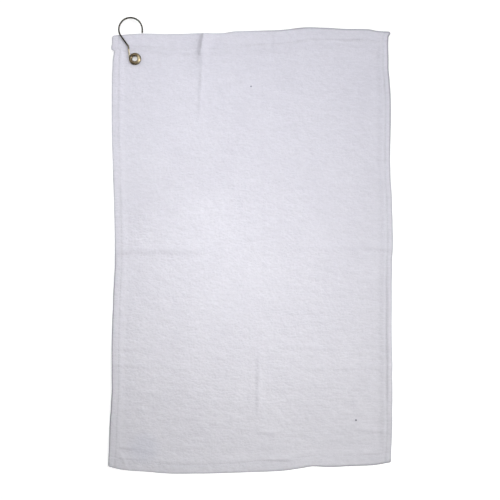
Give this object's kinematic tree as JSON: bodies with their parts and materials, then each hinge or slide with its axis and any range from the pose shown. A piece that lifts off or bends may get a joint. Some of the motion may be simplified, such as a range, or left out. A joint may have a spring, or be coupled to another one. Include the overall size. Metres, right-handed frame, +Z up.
{
  "type": "golf towel",
  "caption": "White hemmed terry golf towel lying flat, with a brass corner grommet and a wire hook that swivels on it to hang the towel from a golf bag.",
  "frame": {"origin": "on the floor under the middle of the whole outline, the hook included", "axes": "+Z up out of the towel's face, +Y along the towel towards the hemmed end with the grommet, +X across the towel away from the grommet's corner"},
  "size_m": [0.4064, 0.6586, 0.0063],
  "materials": {
    "terry": "matte",
    "thread": "satin",
    "brass": "gloss",
    "wire": "gloss"
  },
  "bodies": {
    "towel": {"towel_cloth": "terry", "grommet": "brass", "grommet_washer": "brass", "top_hem_needle_thread": "thread", "top_hem_bobbin_thread": "thread", "bottom_hem_needle_thread": "thread", "bottom_hem_bobbin_thread": "thread", "left_hem_needle_thread": "thread", "left_hem_bobbin_thread": "thread", "right_hem_needle_thread": "thread", "right_hem_bobbin_thread": "thread"},
    "hook": {"towel_hook": "wire"}
  },
  "joints": [
    {"name": "hook_swivel", "type": "hinge", "parent": "towel", "child": "hook", "pos_m": [-0.1697, 0.26867, 0.0034], "axis": [0, 0, 1], "continuous": true}
  ]
}
